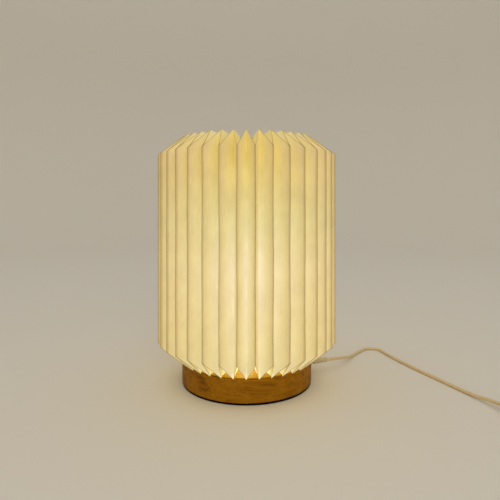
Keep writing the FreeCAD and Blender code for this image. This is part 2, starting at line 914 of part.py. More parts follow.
def plug_grip():
    """Moulded grip, narrower at the cord, with a pocket for the metal shell's root."""
    side = plug_width / 2
    rear = plug_rear_width / 2
    outline = [
        (0, -rear, plug_corner),
        (plug_taper, -side, plug_corner),
        (plug_length, -side, plug_corner),
        (plug_length, side, plug_corner),
        (plug_taper, side, plug_corner),
        (0, rear, plug_corner),
    ]
    grip = plate(outline, 0, plug_height)
    flat = [edge for edge in grip.Edges if len({v.Z for v in edge.Vertexes}) == 1]
    grip = grip.makeFillet(plug_round, flat)
    pocket = shell_box(-fine_gap, plug_length - shell_root, plug_length + overrun)
    return at_plug(grip.cut(pocket))


def plug_shell():
    start = plug_length - shell_root
    end = plug_length + shell_reach
    return at_plug(shell_box(0, start, end).cut(shell_box(shell_wall, start - overrun, end + overrun)))


def tongue_underside():
    return plug_height / 2 + shell_height / 2 - shell_wall - tongue_height


def plug_tongue():
    start = plug_length - shell_root
    end = plug_length + shell_reach - tongue_setback
    width = shell_width - 2 * shell_wall
    bar = box(end - start, width, tongue_height, (start + end) / 2, 0, tongue_underside())
    return at_plug(bar)


def plug_contacts():
    start = plug_length
    end = plug_length + shell_reach - tongue_setback - strip_setback
    bottom = tongue_underside() - strip_height
    strips = []
    for i in range(strip_count):
        place = (i - (strip_count - 1) / 2) * strip_pitch
        strip = box(end - start, strip_width, strip_height, (start + end) / 2, place, bottom)
        strips.append(at_plug(strip))
    return Part.makeCompound(strips)


pieces = {
    "base_body": base_body(),
    "foot_pad": foot_pad(),
    "base_cover": base_cover(),
    "base_screws": base_screws(),
    "led_board": led_board(),
    "led_chips": led_chips(),
    "board_screws": board_screws(),
    "diffuser_dome": diffuser_dome(),
    "strain_relief": strain_relief(),
    "held_cord": held_cord(),
    "cord_grip": cord_grip(),
    "lead_wires": lead_wires(),
    "lamp_cord": lamp_cord(),
    "switch_lower_shell": switch_lower_shell(),
    "switch_upper_shell": switch_upper_shell(),
    "switch_rocker": switch_rocker(),
    "switch_contacts": switch_contacts(),
    "switch_screws": switch_screws(),
    "cord_coil": cord_coil(),
    "coil_tie": coil_tie(),
    "plug_grip": plug_grip(),
    "plug_shell": plug_shell(),
    "plug_tongue": plug_tongue(),
    "plug_contacts": plug_contacts(),
}
first_pleat = shade_pleat()
for number, pleat in enumerate(ring_of(first_pleat, pleat_count, seam_azimuth), start=1):
    pieces["shade_pleat_%02d" % number] = pleat

os.makedirs("parts", exist_ok=True)
for name, shape in pieces.items():
    if not shape.isValid():
        print("not valid:", name)
    shape.exportStep("parts/%s.step" % name)
print(len(pieces), "pieces")
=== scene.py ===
# %% [markdown]
# # A folding paper lamp
# The lamp is a ring of paper pleats that stands round a turned walnut base. An LED unit on the base
# lights the paper from inside, and a thin ivory cord leaves the base at the right rear. The solids come
# with their real sizes and places, so this script gives every one of them its finish, and makes anew
# what bends: the paper and the cord. All coordinates are metres, with +Z up and the front facing -Y.

# %% Load the solids and hang them on their bodies
import json
import math

import bpy
import numpy as np
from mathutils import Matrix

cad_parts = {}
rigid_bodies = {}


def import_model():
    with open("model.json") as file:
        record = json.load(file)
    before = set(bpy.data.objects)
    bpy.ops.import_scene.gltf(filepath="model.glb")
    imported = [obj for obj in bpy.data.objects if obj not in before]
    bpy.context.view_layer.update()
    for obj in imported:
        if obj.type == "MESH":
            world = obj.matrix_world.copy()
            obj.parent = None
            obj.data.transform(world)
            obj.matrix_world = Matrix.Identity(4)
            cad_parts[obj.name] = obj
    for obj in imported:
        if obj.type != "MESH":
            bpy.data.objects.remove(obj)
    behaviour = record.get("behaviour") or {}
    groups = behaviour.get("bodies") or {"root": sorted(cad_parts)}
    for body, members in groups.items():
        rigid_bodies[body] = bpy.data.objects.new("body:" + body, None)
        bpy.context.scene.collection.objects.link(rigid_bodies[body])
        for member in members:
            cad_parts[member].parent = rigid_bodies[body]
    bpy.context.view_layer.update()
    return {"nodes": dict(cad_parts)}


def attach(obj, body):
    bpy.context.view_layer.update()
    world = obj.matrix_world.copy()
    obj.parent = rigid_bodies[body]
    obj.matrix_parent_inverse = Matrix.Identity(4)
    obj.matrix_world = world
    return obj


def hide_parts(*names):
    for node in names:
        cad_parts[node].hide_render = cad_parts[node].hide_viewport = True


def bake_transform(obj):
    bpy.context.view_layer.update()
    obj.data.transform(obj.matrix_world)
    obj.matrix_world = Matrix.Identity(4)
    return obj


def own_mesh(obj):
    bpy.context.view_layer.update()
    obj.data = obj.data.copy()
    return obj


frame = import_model()
MM = 0.001

# %% [markdown]
# ## The camera
# The picture was taken from just in front of the lamp, with the lens level and a little below the
# shade's rim, so upright lines stay upright. A level lens would put the lamp too low in the picture.
# Tilting the camera would make the upright lines lean, so the sensor is shifted instead.

# %% Camera
PICTURE_SIDE = 500          # pixels
FOCAL_LENGTH_PX = 461.2     # pixels
HORIZON_ROW = 206.4         # pixels from the top, at the lens's height
SENSOR_SIDE = 36.0          # millimetres
LENS_PLACE = (3.7 * MM, -531.7 * MM, 198.2 * MM)

camera_data = bpy.data.cameras.new("camera")
camera_data.sensor_width = SENSOR_SIDE
camera_data.lens = SENSOR_SIDE * FOCAL_LENGTH_PX / PICTURE_SIDE
camera_data.shift_y = HORIZON_ROW / PICTURE_SIDE - 0.5
camera = bpy.data.objects.new("camera", camera_data)
camera.location = LENS_PLACE
camera.rotation_euler = (math.radians(90), 0, 0)
bpy.context.scene.collection.objects.link(camera)
bpy.context.scene.camera = camera
print("lens", round(camera_data.lens, 2), "mm, shift", round(camera_data.shift_y, 4))

# %% [markdown]
# ## The cord
# A lamp cord is a round extruded jacket that lies where its own weight and its stiffness leave it. It
# could be a mesh tube, but a NURBS curve with a round bevel needs only the few points that the cord is
# led by, and is smooth between them. The first stretch runs from the strain relief, along the table, to
# the switch. The rest is put away past the switch as a tied coil with the plug at its end.

# %% A cord along control points
CORD_DIAMETER = 3.5 * MM
scene_objects = bpy.context.scene.collection.objects


def cord_along(name, points):
    """A round cord on a quadratic NURBS spline: each point pulls the line, and the two ends touch it."""
    data = bpy.data.curves.new(name, "CURVE")
    data.dimensions = "3D"
    data.bevel_depth = 1.0      # each point's own radius gives the size
    data.bevel_resolution = 4
    data.use_fill_caps = True
    spline = data.splines.new("NURBS")
    spline.points.add(len(points) - 1)
    spline.points.foreach_set("co", np.column_stack([points, np.ones(len(points))]).ravel())
    spline.points.foreach_set("radius", np.full(len(points), CORD_DIAMETER / 2))
    spline.order_u = 3
    spline.use_endpoint_u = True
    spline.resolution_u = 6
    cord = bpy.data.objects.new(name, data)
    scene_objects.link(cord)
    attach(cord, "base")
    return cord


# %% From the base to the switch
LIE = 1.8                   # millimetres from the table to the middle of the cord
SWITCH_AXIS = 6.2           # millimetres, the height at which the cord enters the switch
TABLE_ROUTE = np.array([
    (96.4626, 27.6602, 12.5),
    (107.9978, 30.9679, 12.5),
    (118.0, 42.0, 10.0),
    (127.5, 57.5, 5.2),
    (139.5, 77.5, LIE),
    (151.0, 92.0, LIE),
    (160.9, 103.9, LIE),
    (168.7, 106.4, LIE),
    (176.6, 104.3, LIE),
    (182.1, 98.25, LIE),
    (184.5, 84.5, LIE),
    (191.0, 62.0, LIE),
    (203.0, 28.0, LIE),
    (220.0, -14.0, LIE),
    (235.0, -52.0, LIE),
    (246.0, -80.0, SWITCH_AXIS),
    (250.5, -96.0, SWITCH_AXIS),
]) * MM

table_cord = cord_along("table_cord", TABLE_ROUTE)
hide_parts("lamp_cord")
print("table cord:", len(TABLE_ROUTE), "points")

# %% [markdown]
# The coil is wound in two layers: in along the lower one, up during the half turn where the spiral
# reverses, and out along the upper one. A quadratic spline cuts inside its points, so the points stand
# a little further out than the turns that they give.

# %% From the switch through the coil to the plug
route_end = TABLE_ROUTE[-1] - TABLE_ROUTE[-2]
AHEAD = np.array([route_end[0], route_end[1], 0.0]) / np.hypot(route_end[0], route_end[1])
LEFT = np.array([-AHEAD[1], AHEAD[0], 0.0])
CORD_INSERT = 3.0 * MM
SWITCH_START = TABLE_ROUTE[-1] * (1, 1, 0) - AHEAD * CORD_INSERT


def beside_switch(local):
    """Points given ahead of the switch's inlet, to its left and up, as points of the lamp's frame."""
    local = np.asarray(local, float)
    return SWITCH_START + local[:, :1] * AHEAD + local[:, 1:2] * LEFT + local[:, 2:] * (0, 0, 1)


COIL_OUTER = 29.9 * MM
COIL_INNER = 11.1 * MM
COIL_PITCH = 4.7 * MM       # from turn to turn and from layer to layer
COIL_FLOOR = 2.85 * MM      # the lower layer lies on the strap
COIL_CENTRE = (78.0 * MM, COIL_OUTER)
HALF_TURNS = 8              # in each layer
POINTS_PER_HALF_TURN = 8
# Nearest to a point, a quadratic spline takes 6/8 of it and 1/8 of each neighbour
SPLINE_RADIUS = 0.75 + 0.25 * math.cos(math.pi / POINTS_PER_HALF_TURN)


def coil_points():
    """A spiral by half turns: the radius falls by half a pitch in each, then holds while the cord climbs
    one pitch, then grows again. The start is where the first turn leaves the straight lead."""
    turn = np.arange((2 * HALF_TURNS + 1) * POINTS_PER_HALF_TURN + 1) / POINTS_PER_HALF_TURN
    inward = COIL_OUTER - COIL_PITCH * turn / 2
    outward = COIL_INNER + COIL_PITCH * (turn - HALF_TURNS - 1) / 2
    radius = np.maximum(np.maximum(inward, COIL_INNER), outward)
    radius = radius / SPLINE_RADIUS
    height = COIL_FLOOR + COIL_PITCH * np.clip(turn - HALF_TURNS, 0, 1)
    angle = math.pi * (turn - 0.5)
    return np.column_stack([
        COIL_CENTRE[0] + radius * np.cos(angle), COIL_CENTRE[1] + radius * np.sin(angle), height,
    ])


COIL_LEAD = np.array([
    (53.0, 0, SWITCH_AXIS), (59.5, 0, SWITCH_AXIS), (66.0, 0, 5.2), (72.0, 0, 3.5),
]) * MM
COIL_TAIL = np.array([
    (72.0, 59.8, 7.3), (64.0, 59.8, 4.8), (56.5, 59.8, 4.0), (53.0, 59.8, 4.0),
]) * MM
coil_route = beside_switch(np.vstack([COIL_LEAD, coil_points(), COIL_TAIL]))
coiled_cord = cord_along("coiled_cord", coil_route)
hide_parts("cord_coil")
print("coiled cord:", len(coil_route), "points")

# %% [markdown]
# ## The strap round the coil
# A short hook-and-loop strap holds the turns together. It could be a bent strip with a Solidify
# modifier. Carrying a thin rounded section round a path in numpy gives its soft edges at once, and lets
# the path run on past one full turn, so that the strap's end lies over its beginning.

# %% Surfaces from grids


def grid_faces(rows, columns):
    """Four-sided faces of a grid of points that is numbered row by row, and whose last column joins the
    first one."""
    row, column = np.meshgrid(np.arange(rows - 1), np.arange(columns), indexing="ij")
    after = (column + 1) % columns
    corners = [row * columns + column, row * columns + after,
               (row + 1) * columns + after, (row + 1) * columns + column]
    return np.stack(corners, axis=-1).reshape(-1, 4)


def mesh_piece(name, points, faces):
    """A mesh object at the origin, with its place in its points."""
    data = bpy.data.meshes.new(name)
    data.from_pydata(points.tolist(), [], [list(face) for face in faces])
    data.update()
    piece = bpy.data.objects.new(name, data)
    scene_objects.link(piece)
    return piece


def set_uv(piece, name, uv):
    """A UV map with one place for each point of the mesh."""
    corner = np.empty(len(piece.data.loops), np.int32)
    piece.data.loops.foreach_get("vertex_index", corner)
    piece.data.uv_layers.new(name=name).data.foreach_set("uv", uv[corner].ravel())


# %% Strap
STRAP_THICKNESS = 0.8 * MM
STRAP_WIDTH = 8.0 * MM
STRAP_EDGE = 0.35 * MM      # rounding of the strap's long edges
STRAP_CORNER = 1.6 * MM     # rounding where it bends round the turns
STRAP_NEAR = 7.9 * MM       # from the coil's middle to the strap's inner run
STRAP_FAR = 32.35 * MM
STRAP_LOW = 0.4 * MM
STRAP_HIGH = 10.0 * MM
STRAP_START = 0.42          # of the way round, from the lower outer corner, where the strap begins
STRAP_TURNS = 1.2
STRAP_STEP_TURNS = 0.06     # in which the end climbs onto the beginning
STRAP_LIFT = 1.05 * STRAP_THICKNESS     # of the end, with a little air under it
STRAP_ROWS = 121
CORNER_POINTS = 7
EDGE_POINTS = 5


def strap_path(share):
    """Places and outward directions at shares of the way round a rectangle with round corners."""
    quarter = np.linspace(0, math.pi / 2, CORNER_POINTS)
    angle = quarter + np.array([[-0.5], [0.0], [0.5], [1.0]]) * math.pi
    inner = np.array([(STRAP_FAR - STRAP_CORNER, STRAP_LOW + STRAP_CORNER),
                      (STRAP_FAR - STRAP_CORNER, STRAP_HIGH - STRAP_CORNER),
                      (STRAP_NEAR + STRAP_CORNER, STRAP_HIGH - STRAP_CORNER),
                      (STRAP_NEAR + STRAP_CORNER, STRAP_LOW + STRAP_CORNER)])
    out = np.stack([np.cos(angle), np.sin(angle)], axis=-1)
    place = (inner[:, None] + STRAP_CORNER * out).reshape(-1, 2)
    out = out.reshape(-1, 2)
    place, out = np.vstack([place, place[:1]]), np.vstack([out, out[:1]])
    run = np.concatenate([[0], np.cumsum(np.linalg.norm(np.diff(place, axis=0), axis=1))])
    at = (share % 1.0) * run[-1]
    found = [np.interp(at, run, values[:, axis]) for values in (place, out) for axis in (0, 1)]
    return np.column_stack(found[:2]), np.column_stack(found[2:])


def strap_section():
    """A flat bar with round long edges: places across the width and through the thickness."""
    angle = np.linspace(-math.pi / 2, math.pi / 2, EDGE_POINTS)
    across = STRAP_WIDTH / 2 - STRAP_EDGE + STRAP_EDGE * np.cos(angle)
    through = STRAP_THICKNESS / 2 * np.sin(angle)
    return np.column_stack([np.concatenate([across, -across[::-1]]),
                            np.concatenate([through, through[::-1]])])


def strap():
    """The section carried round the path, past one full turn, and lifted by a little more than its own
    thickness where the end lies on the beginning."""
    share = np.linspace(0.0, STRAP_TURNS, STRAP_ROWS)
    place, out = strap_path(share + STRAP_START)
    climb = np.clip((share - 1 + STRAP_STEP_TURNS) / STRAP_STEP_TURNS, 0, 1)
    lift = climb * climb * (3 - 2 * climb) * STRAP_LIFT
    place = place + out * lift[:, None]
    section = strap_section()
    radial = place[:, None, 0] + out[:, None, 0] * section[None, :, 1]
    height = place[:, None, 1] + out[:, None, 1] * section[None, :, 1]
    across = np.broadcast_to(section[None, :, 0], radial.shape)
    local = np.stack([COIL_CENTRE[0] + radial, COIL_CENTRE[1] + across, height], axis=-1)
    count = len(section)
    faces = grid_faces(STRAP_ROWS, count).tolist()
    faces += [list(range(count))[::-1], list(range((STRAP_ROWS - 1) * count, STRAP_ROWS * count))]
    piece = mesh_piece("coil_strap", beside_switch(local.reshape(-1, 3)), faces)
    length = share * (2 * (STRAP_FAR - STRAP_NEAR) + 2 * (STRAP_HIGH - STRAP_LOW))
    along = np.broadcast_to(length[:, None], radial.shape)
    set_uv(piece, "weave", np.stack([across, along], axis=-1).reshape(-1, 2))
    return piece


coil_strap = strap()
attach(coil_strap, "base")
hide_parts("coil_tie")
print("strap:", len(coil_strap.data.polygons), "faces")

# %% [markdown]
# ## The paper shade
# The shade is one long sheet, creased 72 times, whose ends meet at a seam at the back. Every second crease
# points outwards as a ridge, and the ones between point inwards as valleys. At the top and the bottom the
# sheet is folded in along slanted creases, so each pair of panels ends in a tip at its valley, and the
# folded-in ends close the shade above, but for a small mouth, and reach in over the base below. A strip
# with an array modifier would give the ring, but here each pleat is a piece of its own: one closed strip
# of paper, from one valley over a ridge to the next valley, and from its folded-in end below to the one
# above.

# %% Sizes of the shade
PLEATS = 36
SEAM = math.radians(50)     # azimuth at which the sheet's ends meet
HALF_PITCH = math.pi / PLEATS
VALLEY_RADIUS = 73.2 * MM
RIDGE_RADIUS = 100.0 * MM
VALLEY_LOW, VALLEY_HIGH = 25.6 * MM, 275.7 * MM
RIDGE_LOW, RIDGE_HIGH = 48.2 * MM, 255.3 * MM
PAPER = 0.25 * MM
LOW_TUCK, HIGH_TUCK = 24.0 * MM, 42.0 * MM     # of the sheet past its tips
VALLEY_TILT = math.radians(5)   # of the folded-in ends along the valleys and the ridges
RIDGE_TILT = math.radians(9)
TUCK_SHARES = np.array([0.03, 0.35, 0.7, 1.0])  # rows of a folded-in end, from its crease inwards
BASE_CLEARANCE = 27.9 * MM  # height above which the lower ends stay clear of the base's top
TURN_BAND = 1.2 * MM        # along the slanted creases, where less light leaves the paper
TURN_SHARE = 0.4            # of the paper's thickness that a slanted crease is pressed to
RIDGE_SWAY = 0.22 * MM      # how far a hand-made ridge wanders to either side
RIDGE_SWAY_LENGTH = 130 * MM
SIDE_PHASE, REACH_PHASE = 2.4, 1.7  # radians of sway, sideways and outwards, from pleat to pleat
INNER_ROWS = 9

valley_way = np.array([math.cos(HALF_PITCH), -math.sin(HALF_PITCH)])
valley = VALLEY_RADIUS * valley_way
ridge = np.array([RIDGE_RADIUS, 0.0])
panel_width = float(np.linalg.norm(ridge - valley))
panel_way = (ridge - valley) / panel_width
lean = math.atan2(panel_way[1], panel_way[0])
print("panel", round(panel_width / MM, 1), "mm wide, leaning", round(math.degrees(lean), 1), "degrees")

# %% Section of one pleat
half_paper = PAPER / 2
at_valley = valley_way * half_paper / math.sin(lean + HALF_PITCH)
at_ridge = np.array([half_paper / math.sin(lean), 0.0])
MIRROR = np.array([1, -1])
creases = np.array([valley, ridge, valley * MIRROR])            # the middle of the paper
beside = np.array([at_valley, at_ridge, at_valley * MIRROR])    # from there to its two faces
chain = len(creases)
middle_line = np.vstack([creases, creases[::-1]])
section = np.vstack([creases + beside, (creases - beside)[::-1]])
fold_share = np.array([0.0, 1.0, 0.0, 0.0, 1.0, 0.0])           # of the way from the valley to the ridge
side = np.sign(middle_line[:, 1])
print("section of", len(section), "points, paper", round(PAPER / MM, 2), "mm")

# %% Folded-in ends
turned_over = 2 * middle_line - section
low = VALLEY_LOW + (RIDGE_LOW - VALLEY_LOW) * fold_share
high = VALLEY_HIGH + (RIDGE_HIGH - VALLEY_HIGH) * fold_share


def tuck_rows(crease, tuck):
    """Rows of a folded-in end as plan places, heights and lengths of paper past the crease. Each point
    leaves its crease towards the lamp's axis; the reach grows from valley to ridge by the crease's own
    slant, as the sheet's edge is straight, and its tilt runs evenly between the two as well. The two
    faces of the paper change sides, as it is folded over."""
    slant = crease[1] - crease[0]
    ridge_reach = tuck + abs(slant)
    inward = (1 - fold_share) * tuck * math.cos(VALLEY_TILT)
    outward = -inward * math.cos(HALF_PITCH) - fold_share * ridge_reach * math.cos(RIDGE_TILT)
    sideways = -side * inward * math.sin(HALF_PITCH)
    climb = (1 - fold_share) * tuck * math.sin(VALLEY_TILT)
    climb = climb + fold_share * ridge_reach * math.sin(RIDGE_TILT)
    share = TUCK_SHARES[:, None]
    plan = turned_over + share[..., None] * np.column_stack([outward, sideways])
    height = crease + share * climb * math.copysign(1.0, slant)
    return plan, np.maximum(height, BASE_CLEARANCE), share * (tuck + abs(slant) * fold_share)


# %% Rows of one pleat


def pleat_rows(number):
    """Rows of points of a folded strip, as plan places, heights and places along the sheet: the section at
    several heights between the slanted creases, a row on each crease where the paper turns over, and the
    folded-in ends. The ridge sways a little from side to side as a sine of the height, with another phase
    for each pleat."""
    share = np.linspace(0, 1, INNER_ROWS)[:, None]
    wall = low + TURN_BAND + (high - low - 2 * TURN_BAND) * share
    phase = SIDE_PHASE * number
    sway = RIDGE_SWAY * np.sin(2 * math.pi * wall / RIDGE_SWAY_LENGTH + phase) * fold_share
    reach = RIDGE_SWAY * math.sin(REACH_PHASE * number) * fold_share
    wall_plan = section + np.stack([np.broadcast_to(reach, wall.shape), sway], axis=-1)
    turn_plan = (middle_line + TURN_SHARE * (section - middle_line))[None]
    rounding = np.where(np.arange(len(section)) < chain, half_paper, -half_paper)
    low_plan, low_height, low_length = tuck_rows(low, LOW_TUCK)
    high_plan, high_height, high_length = tuck_rows(high, HIGH_TUCK)
    plan = np.vstack([low_plan[::-1], turn_plan, wall_plan, turn_plan, high_plan])
    height = np.vstack([low_height[::-1], low - rounding, wall, high + rounding, high_height])
    along_sheet = np.vstack([(low - low_length)[::-1], low, wall, high, high + high_length])
    return plan, height, along_sheet


# %% One pleat as a mesh


def mark(piece, name, values):
    """Keep one number for each point of the mesh, for the finish to read."""
    attribute = piece.data.attributes.new(name, "FLOAT", "POINT")
    attribute.data.foreach_set("value", values.astype(np.float32).ravel())


def pleat(number):
    """The rows, turned to the pleat's place in the ring and closed at both ends. Its UV map is the flat
    sheet, and its marks tell how near a point is to the ridge and to an edge or a slanted crease."""
    plan, height, along_sheet = pleat_rows(number)
    middle = SEAM + (2 * number - 1) * HALF_PITCH
    x = plan[..., 0] * math.cos(middle) - plan[..., 1] * math.sin(middle)
    y = plan[..., 0] * math.sin(middle) + plan[..., 1] * math.cos(middle)
    points = np.stack([x, y, height], axis=-1)
    rows, columns = height.shape
    first = np.arange(chain - 1)
    back = columns - 1 - first
    bottom = np.column_stack([back, back - 1, first + 1, first])
    top = np.column_stack([first, first + 1, back - 1, back]) + (rows - 1) * columns
    faces = np.vstack([grid_faces(rows, columns), bottom, top])
    piece = mesh_piece(f"paper_pleat_{number:02d}", points.reshape(-1, 3), faces)

    across_sheet = np.where(section[:, 1] < 0, fold_share, 2 - fold_share) + 2 * (number - 1)
    uv = np.stack([np.broadcast_to(across_sheet * panel_width, height.shape), along_sheet], axis=-1)
    set_uv(piece, "sheet", uv.reshape(-1, 2))
    turn = np.zeros(height.shape)
    tuck = len(TUCK_SHARES)
    turn[[0, tuck, -tuck - 1, -1]] = 1
    mark(piece, "fold", np.broadcast_to(fold_share, height.shape))
    mark(piece, "turn", turn)
    return piece


# %% [markdown]
# Each pleat but the last stays where it was built and rides on no body. The last pleat has a body on one
# side only: it rides rigidly on pleat_36, with a mesh of its own.

# %% The ring of pleats
PLEAT_FLAT = (2 * panel_width, VALLEY_HIGH - VALLEY_LOW + LOW_TUCK + HIGH_TUCK)


pleats = []
for number in range(1, PLEATS + 1):
    piece = pleat(number)
    if number < PLEATS:
        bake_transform(piece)
    else:
        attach(piece, f"pleat_{number:02d}")
        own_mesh(piece)
    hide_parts(f"shade_pleat_{number:02d}")
    pleats.append(piece)
flat_size = [round(side / MM, 1) for side in PLEAT_FLAT]
print("pleats:", len(pleats), "of", len(pleats[0].data.polygons), "faces, each", flat_size, "mm when flat")

# %% [markdown]
# ## Colours and nodes
# Colours are written as sRGB hex values, as a picture shows them, and one function turns them into the
# linear light that shaders reckon with. One more function adds a node with its settings, its values and
# its links, and a third starts a material with its constants, so that each finish below reads as a list
# of what the surface does.

# %% Helpers for finishes


def linear(hex_colour):
    """The linear light of an sRGB hex colour: a short straight run near black, then a power of 2.4."""
    value = np.array([int(hex_colour[place:place + 2], 16) for place in (1, 3, 5)]) / 255
    light = np.where(value <= 0.04045, value / 12.92, ((value + 0.055) / 1.055) ** 2.4)
    return (*light.tolist(), 1.0)


def add_node(tree, kind, sockets=None, stops=None, **settings):
    """Add a node: settings are its options, sockets its inputs by name or number, as values or as other
    nodes' outputs, and stops the places and colours of a ramp."""
    node = tree.nodes.new(kind)
    for option, value in settings.items():
        setattr(node, option, value)
    for socket, value in (sockets or {}).items():
        if isinstance(value, bpy.types.NodeSocket):
            tree.links.new(value, node.inputs[socket])
        else:
            node.inputs[socket].default_value = value
    if stops:
        ramp = node.color_ramp.elements
        while len(ramp) < len(stops):
            ramp.new(1.0)
        for element, (place, colour) in zip(ramp, stops):
            element.position = place
            element.color = linear(colour)
    return node


def new_finish(name, **constants):
    """A material with one Principled shader whose constant sockets are set; returns it with its tree."""
    finish = bpy.data.materials.new(name)
    finish.use_nodes = True
    shader = finish.node_tree.nodes["Principled BSDF"]
    for socket, value in constants.items():
        shader.inputs[socket.replace("_", " ")].default_value = value
    return finish, finish.node_tree, shader


# %% [markdown]
# ## Paper lit from inside
# The shade is thin calendered paper with faint fibres. Light from the base soaks through it: most near the
# valleys, which stand closest to the lamp, less towards the ridges and the slants, where the glow dims to
# a thin dark line. Real light through a closed sheet of two faces would need many bounces, so the paper
# glows by itself, as painted light, as a function of how far a point lies from its valley and how high it
# is, and still takes the light of the room on its surface. Its base colour also carries painted shade: a
# thin dark line along each ridge and each slanted crease.

# %% Fibres in the paper
FIBRE_WIDTH = 1.6 * MM      # drawn several times coarser than real fibres, so that they show
FIBRE_LENGTH = 16 * MM
FIBRE_ANGLES = (0.16, -0.22)
CLOUD_SIZE = 24 * MM


def paper_fibres(tree, sheet):
    """Two crossing layers of stretched noise as fibres, and soft clouds: returns the fibres, and the tone
    from 0 to 1 that fibres and clouds give together."""
    layers = []
    for angle in FIBRE_ANGLES:
        laid = add_node(tree, "ShaderNodeMapping", vector_type="TEXTURE", sockets={
            "Vector": sheet, "Rotation": (0, 0, angle), "Scale": (FIBRE_WIDTH, FIBRE_LENGTH, 1)})
        layers.append(add_node(tree, "ShaderNodeTexNoise", sockets={
            "Vector": laid.outputs[0], "Scale": 1.0, "Detail": 2.0}).outputs["Fac"])
    fibres = add_node(tree, "ShaderNodeMath", operation="MAXIMUM", sockets={0: layers[0], 1: layers[1]})
    clouds = add_node(tree, "ShaderNodeTexNoise", sockets={
        "Vector": sheet, "Scale": 1 / CLOUD_SIZE, "Detail": 3.0}).outputs["Fac"]
    mottle = add_node(tree, "ShaderNodeMath", operation="ADD", sockets={0: fibres.outputs[0], 1: clouds})
    tone = add_node(tree, "ShaderNodeMapRange", sockets={
        "Value": mottle.outputs[0], "From Min": 0.8, "From Max": 1.4})
    return fibres.outputs[0], tone.outputs[0]


# %% Colour of the paper


def paper_colour_with_painted_shade(tree, tone, fold, turn):
    """Cream that follows the fibres, times painted shade in a darker line along the ridges, times more
    painted shade along the slanted creases."""
    tint = add_node(tree, "ShaderNodeValToRGB", sockets={"Fac": tone},
                    stops=[(0.0, "#DCD3BE"), (1.0, "#E7DFCC")])
    # Painted shade: the colour darkens in a thin line along each ridge
    crease = add_node(tree, "ShaderNodeValToRGB", sockets={"Fac": fold}, stops=[
        (0.0, "#FFFFFF"), (0.88, "#FBF8F0"), (0.96, "#E4DABF"), (1.0, "#B4A27C")])
    ridge_shaded = add_node(tree, "ShaderNodeMix", data_type="RGBA", blend_type="MULTIPLY", sockets={
        0: 1.0, 6: tint.outputs["Color"], 7: crease.outputs["Color"]})
    # Painted shade along the slanted creases, where the folded-in ends turn over
    slant = add_node(tree, "ShaderNodeValToRGB", sockets={"Fac": turn},
                     stops=[(0.2, "#FFFFFF"), (1.0, "#B4A27C")])
    colour = add_node(tree, "ShaderNodeMix", data_type="RGBA", blend_type="MULTIPLY", sockets={
        0: 1.0, 6: ridge_shaded.outputs[2], 7: slant.outputs["Color"]})
    return colour.outputs[2]


# %% Glow of the paper
TURN_GAIN = -0.42           # change of the glow on a slanted crease


def paper_glow(tree, sheet, tone, fold, turn):
    """Light through the paper: a ramp over the height times a ramp from valley to ridge, mottled by the
    fibres and weaker on the slanted creases."""
    height = add_node(tree, "ShaderNodeSeparateXYZ", sockets={0: sheet}).outputs["Y"]
    rise = add_node(tree, "ShaderNodeMapRange", sockets={
        "Value": height, "From Min": 0.0, "From Max": VALLEY_HIGH})
    glow = add_node(tree, "ShaderNodeValToRGB", sockets={"Fac": rise.outputs[0]}, stops=[
        (0.0, "#EFEBBE"), (0.07, "#D7C988"), (0.12, "#91886C"), (0.49, "#978E80"), (0.67, "#898465"),
        (0.92, "#85721C")])
    through = add_node(tree, "ShaderNodeValToRGB", sockets={"Fac": fold}, stops=[
        (0.0, "#F6FFFF"), (0.2, "#F8FCEC"), (0.45, "#F8FBDA"), (0.65, "#FEF8B8"), (0.85, "#ECDD8C"),
        (0.96, "#CBBC76"), (1.0, "#9B8640")])
    lit = add_node(tree, "ShaderNodeMix", data_type="RGBA", blend_type="MULTIPLY", sockets={
        0: 1.0, 6: glow.outputs["Color"], 7: through.outputs["Color"]})
    mottled = add_node(tree, "ShaderNodeMapRange", sockets={
        "Value": tone, "To Min": 0.88, "To Max": 1.06})
    edge = add_node(tree, "ShaderNodeMath", operation="MULTIPLY_ADD", sockets={
        0: turn, 1: TURN_GAIN, 2: mottled.outputs[0]})
    shine = add_node(tree, "ShaderNodeVectorMath", operation="SCALE", sockets={
        0: lit.outputs[2], "Scale": edge.outputs[0]})
    return shine.outputs[0]


# %% Folded paper


def folded_paper():
    """Cream paper: fibres and clouds in its sheet tint and dent it, painted shade darkens its colour along
    the ridges and slants, and its painted glow follows the folds.
    """
    finish, tree, shader = new_finish("folded_paper", Roughness=0.86, Emission_Strength=1.0)
    sheet = add_node(tree, "ShaderNodeUVMap", uv_map="sheet").outputs["UV"]
    fold = add_node(tree, "ShaderNodeAttribute", attribute_name="fold").outputs["Fac"]
    turn = add_node(tree, "ShaderNodeAttribute", attribute_name="turn").outputs["Fac"]
    fibres, tone = paper_fibres(tree, sheet)
    tree.links.new(paper_colour_with_painted_shade(tree, tone, fold, turn), shader.inputs["Base Color"])
    tree.links.new(paper_glow(tree, sheet, tone, fold, turn), shader.inputs["Emission Color"])
    relief = add_node(tree, "ShaderNodeBump", sockets={
        "Strength": 0.3, "Distance": 0.1 * MM, "Height": fibres})
    tree.links.new(relief.outputs[0], shader.inputs["Normal"])
    return finish


paper_finish = folded_paper()
for piece in pleats:
    piece.data.materials.append(paper_finish)
print("paper:", len(paper_finish.node_tree.nodes), "nodes")

# %% [markdown]
# ## Oiled walnut
# The base is turned from one walnut board. Its grain runs from left to right and dips a little, so the
# sides show long streaks in front and end grain at left and right. Noise that is stretched along the grain
# gives the broad figure, and a finer one the dark pores, which also dent the surface. The top, which the
# shade covers, is painted a lighter gold: painted light from the lamp inside the shade.

# %% Walnut
FIGURE_SIZE = (150 * MM, 9 * MM, 7 * MM)
PORE_SIZE = (30 * MM, 0.8 * MM, 0.6 * MM)
GRAIN_TURN = (0.0, math.radians(6), math.radians(9))
LIT_TOP_FROM = 26.6 * MM       # height of the top, from which it is painted lighter and golden, as lit by the lamp
LIT_TOP_BAND = 0.2 * MM        # of height, in which the painted light fades in
